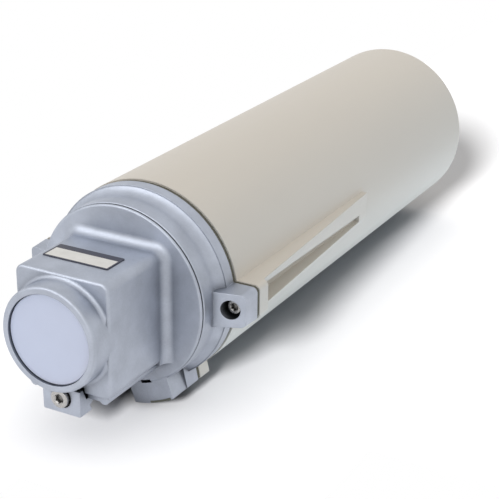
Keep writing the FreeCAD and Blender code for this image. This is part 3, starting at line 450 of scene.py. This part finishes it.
def knurl(radius, depth, count):
    """Radius as a function of the angle: a cylinder with fine straight ribs."""
    return lambda angle: radius - depth * (0.5 - 0.5 * math.cos(count * angle))


def thread(radius, depth, pitch, y):
    """Radius as a function of the angle: one cut through a thread."""
    def at(angle):
        phase = (y / pitch - angle / (2 * math.pi)) % 1.0
        return radius - depth * abs(2 * phase - 1)
    return at


def lathe(name, rings, centre, heading, closed):
    """A mesh of rings along Y: each ring is a radius function and a place from the seat."""
    mesh = bpy.data.meshes.new(name)
    build = bmesh.new()
    loops = []
    for radius, y in rings:
        loop = []
        for i in range(TURNS):
            angle = 2 * math.pi * i / TURNS
            r = radius(angle)
            spot = (centre[0] + heading * r * math.cos(angle), centre[1] + heading * y,
                    centre[2] + r * math.sin(angle))
            loop.append(build.verts.new(spot))
        loops.append(loop)
    if closed:
        loops.append(loops[0])
    for near, far in zip(loops, loops[1:]):
        for i in range(TURNS):
            j = (i + 1) % TURNS
            build.faces.new((near[i], near[j], far[j], far[i]))
    if not closed:
        build.faces.new(loops[0])
        build.faces.new(loops[-1])
    bmesh.ops.recalc_face_normals(build, faces=build.faces)
    build.to_mesh(mesh)
    build.free()
    mesh.shade_smooth()
    mesh.set_sharp_from_angle(angle=math.radians(CREASE))
    return bpy.data.objects.new(name, mesh)


def thread_rings(radius, depth, pitch, count):
    """Rings of a thread, up to but without the last one."""
    step = pitch / THREAD_STEPS
    return [(thread(radius, depth, pitch, i * step), i * step) for i in range(1, count)]


def screw_rings(size, length, ribs):
    """Rings of a socket screw, from the bottom of its socket round the head to its point."""
    head, height, shank = size["head"], size["height"], size["shank"]
    tip_width, tip = SOCKET_TIP
    lead_width, lead = SOCKET_LEAD
    soft = HEAD_ROUND * head
    mouth = size["socket"] / math.sqrt(3) * lead_width
    socket = hexagon(size["socket"])
    side = knurl(head, KNURL_DEPTH * head, ribs) if ribs else circle(head)
    rings = [(hexagon(tip_width * size["socket"]), -tip * height),
             (socket, -SOCKET_FLOOR * height),
             (socket, -SOCKET_MOUTH * height),
             (circle(mouth), -lead * height),
             (circle(mouth + RING_STEP), -height)]
    for i in range(ROUND_RINGS):
        turn = math.pi / 2 * i / (ROUND_RINGS - 1)
        rings.append((circle(head - soft + soft * math.sin(turn)),
                      -height + soft - soft * math.cos(turn)))
    from_top, from_seat = KNURL_ENDS
    rings += [(side, -height + from_top * soft), (side, -from_seat * soft),
              (circle(head - SEAT_BEVEL * soft), 0.0), (circle(shank), 0.0)]
    depth = THREAD_DEPTH * size["pitch"]
    count = int((length - 2 * depth) / (size["pitch"] / THREAD_STEPS))
    rings += thread_rings(shank, depth, size["pitch"], count)
    rings.append((circle(shank - depth), length - depth))
    rings.append((circle(shank - POINT_BEVEL * depth), length))
    return rings


def fasten(piece, body, node, finish):
    """Ride a fastener on its body, in the finish of steel, in place of a CAD node."""
    piece.data.materials.append(finish)
    bpy.context.scene.collection.objects.link(piece)
    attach(piece, body)
    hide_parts(node)


def screws(node, size, body, heading, ribs, finish):
    """Detailed screws over a CAD node that holds one screw, or a mirrored pair."""
    low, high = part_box(node)
    reach = high[1] - low[1] - size["height"]
    seat = low[1] + size["height"] if heading > 0 else high[1] - size["height"]
    places = {low[0] + size["head"], high[0] - size["head"]}
    z = (low[2] + high[2]) / 2
    rings = screw_rings(size, reach, ribs)
    for number, x in enumerate(sorted({round(x, PLACE_DIGITS) for x in places}), start=1):
        name = f"{node}_detail_{number}"
        fasten(lathe(name, rings, (x, seat, z), heading, False), body, node, finish)


def nuts(finish):
    """Chamfered nuts with a threaded bore."""
    low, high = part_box("side_nuts")
    height = high[1] - low[1]
    rim = circle(NUT_FLATS / 2 * NUT_FACE)
    flats = hexagon(NUT_FLATS)
    start, end = (NUT_BEVEL * height * share for share in BEVEL_ENDS)
    bore = SIDE_SCREW["shank"]
    mouth = circle(bore + RING_STEP)
    pitch = SIDE_SCREW["pitch"]

    def cone(angle):
        return min(flats(angle), NUT_FLATS / 2 * NUT_CONE)

    rings = [(mouth, 0.0), (rim, 0.0), (cone, start), (flats, end),
             (flats, height - end), (cone, height - start), (rim, height), (mouth, height)]
    count = int(height / (pitch / THREAD_STEPS))
    rings += reversed(thread_rings(bore, THREAD_DEPTH * pitch / 2, pitch, count))
    z = (low[2] + high[2]) / 2
    for number, x in enumerate((low[0] + NUT_FLATS / 2, high[0] - NUT_FLATS / 2), start=1):
        name = f"side_nut_detail_{number}"
        fasten(lathe(name, rings, (x, low[1], z), 1, True), "base", "side_nuts", finish)


# ------------------------------------------------------------------ stage
def lit_only(lamp, receivers):
    """Let a lamp light nothing but these objects; everything still casts its shadow."""
    lit = bpy.data.collections.new("lit_by_" + lamp.name)
    for thing in receivers:
        lit.objects.link(thing)
    lamp.light_linking.receiver_collection = lit
    return lit


def sun(name, direction, strength, spread):
    """A distant soft lamp."""
    light = bpy.data.lights.new(name, "SUN")
    light.energy = strength
    light.angle = math.radians(spread)
    lamp = bpy.data.objects.new(name, light)
    lamp.rotation_euler = Vector(direction).to_track_quat("-Z", "Y").to_euler()
    bpy.context.scene.collection.objects.link(lamp)
    return lamp


def floor():
    """Plain sheets just under the part, with a painted shadow: darker where it closes them in."""
    level = CAD_BOX[0][2] - FLOOR_GAP
    corners = []
    for (west, east), (south, north) in FLOOR_SPANS:
        corners += [(west, south, level), (east, south, level),
                    (east, north, level), (west, north, level)]
    sheets = [tuple(range(first, first + 4)) for first in range(0, len(corners), 4)]
    mesh = bpy.data.meshes.new("floor")
    mesh.from_pydata(corners, [], sheets)
    look = Look("floor", FLOOR_TONE, 1.0)
    look.set("Specular IOR Level", 0.0)
    # painted shadow: the floor's colour darkens where the part closes it in
    open_share = look.add("ShaderNodeAmbientOcclusion", Distance=PAINTED_SHADOW_REACH).outputs["AO"]
    tone = look.mix(look.remap(open_share, (PAINTED_SHADOW_SHUT, 1.0)), PAINTED_SHADOW_TONE, FLOOR_TONE)
    look.set("Base Color", look.mix(look.backdrop_share(), BOUNCE_TONE, tone))
    mesh.materials.append(look.material)
    ground = bpy.data.objects.new("floor", mesh)
    bpy.context.scene.collection.objects.link(ground)
    ground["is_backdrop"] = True
    return ground


def world():
    """Soft surroundings with two bright sides; plain white wherever the backdrop shows."""
    sky = bpy.data.worlds.new("studio")
    bpy.context.scene.world = sky
    sky.use_nodes = True
    tree = Tree(sky.node_tree)
    heading = tree.add("ShaderNodeTexCoord").outputs["Generated"]
    bright = tree.maths("ADD")
    bright.node.use_clamp = True
    for socket, (side, fade, full) in zip(bright.node.inputs, BRIGHT_SIDES):
        cosine = tree.nodes.new("ShaderNodeVectorMath")
        cosine.operation = "DOT_PRODUCT"
        tree.plug(cosine.inputs[0], heading)
        tree.plug(cosine.inputs[1], Vector(side).normalized())
        share = tree.remap(cosine.outputs["Value"], (fade, full))
        share.node.interpolation_type = "SMOOTHSTEP"
        tree.plug(socket, share)
    light = tree.mix(bright, DIM_LIGHT, BRIGHT_LIGHT)
    seen = tree.mix(tree.backdrop_share(), light, BACKDROP)
    tree.plug(tree.nodes["Background"].inputs["Color"], seen)


def lamps(ground):
    """A key and two fills for the part, a key for its casting, and a sun for the floor."""
    lit_only(sun("key", KEY_DIRECTION, KEY_STRENGTH, KEY_SPREAD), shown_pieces())
    for name, direction, strength, colour in FILLS:
        fill = sun(name, direction, strength, FILL_SPREAD)
        fill.data.color = colour
        fill.visible_glossy = False
        fill.light_linking.blocker_collection = lit_only(fill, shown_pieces())
    casting = [NODES["base_casting"], NODES["clamp_jaw"]]
    lit_only(sun("casting_key", CASTING_KEY_DIRECTION, CASTING_KEY_STRENGTH,
                 CASTING_KEY_SPREAD), casting)
    lit_only(sun("floor_sun", FLOOR_SUN_DIRECTION, FLOOR_SUN_STRENGTH, FLOOR_SUN_SPREAD),
             [ground])


def camera():
    """Long lens behind the rear cover, above it and to its right."""
    lens = bpy.data.cameras.new("camera")
    lens.lens = LENS_MM
    lens.sensor_width = SENSOR_MM
    lens.sensor_fit = "HORIZONTAL"
    lens.clip_start = NEAREST
    lens.clip_end = FARTHEST
    eye = bpy.data.objects.new("camera", lens)
    turn = (Matrix.Rotation(math.radians(VIEW_AZIMUTH), 4, "Z")
            @ Matrix.Rotation(math.radians(90 - VIEW_ELEVATION), 4, "X")
            @ Matrix.Rotation(math.radians(VIEW_ROLL), 4, "Z"))
    eye.matrix_world = (Matrix.Translation(Vector(VIEW_AIM)) @ turn
                        @ Matrix.Translation((0, 0, VIEW_DISTANCE)))
    bpy.context.scene.collection.objects.link(eye)
    bpy.context.scene.camera = eye


bpy.context.scene.view_settings.view_transform = "Standard"
camera()
finishes = {name: make() for name, make in FINISHES.items()}
dress_nodes(finishes)
metal = finishes["stainless_steel"]
screws("clamp_screw", CLAMP_SCREW, "screw", 1, 0, metal)
screws("side_screws", SIDE_SCREW, "base", 1, KNURL_RIBS, metal)
screws("lower_screws", LOWER_SCREW, "base", -1, KNURL_RIBS, metal)
nuts(metal)
world()
lamps(floor())
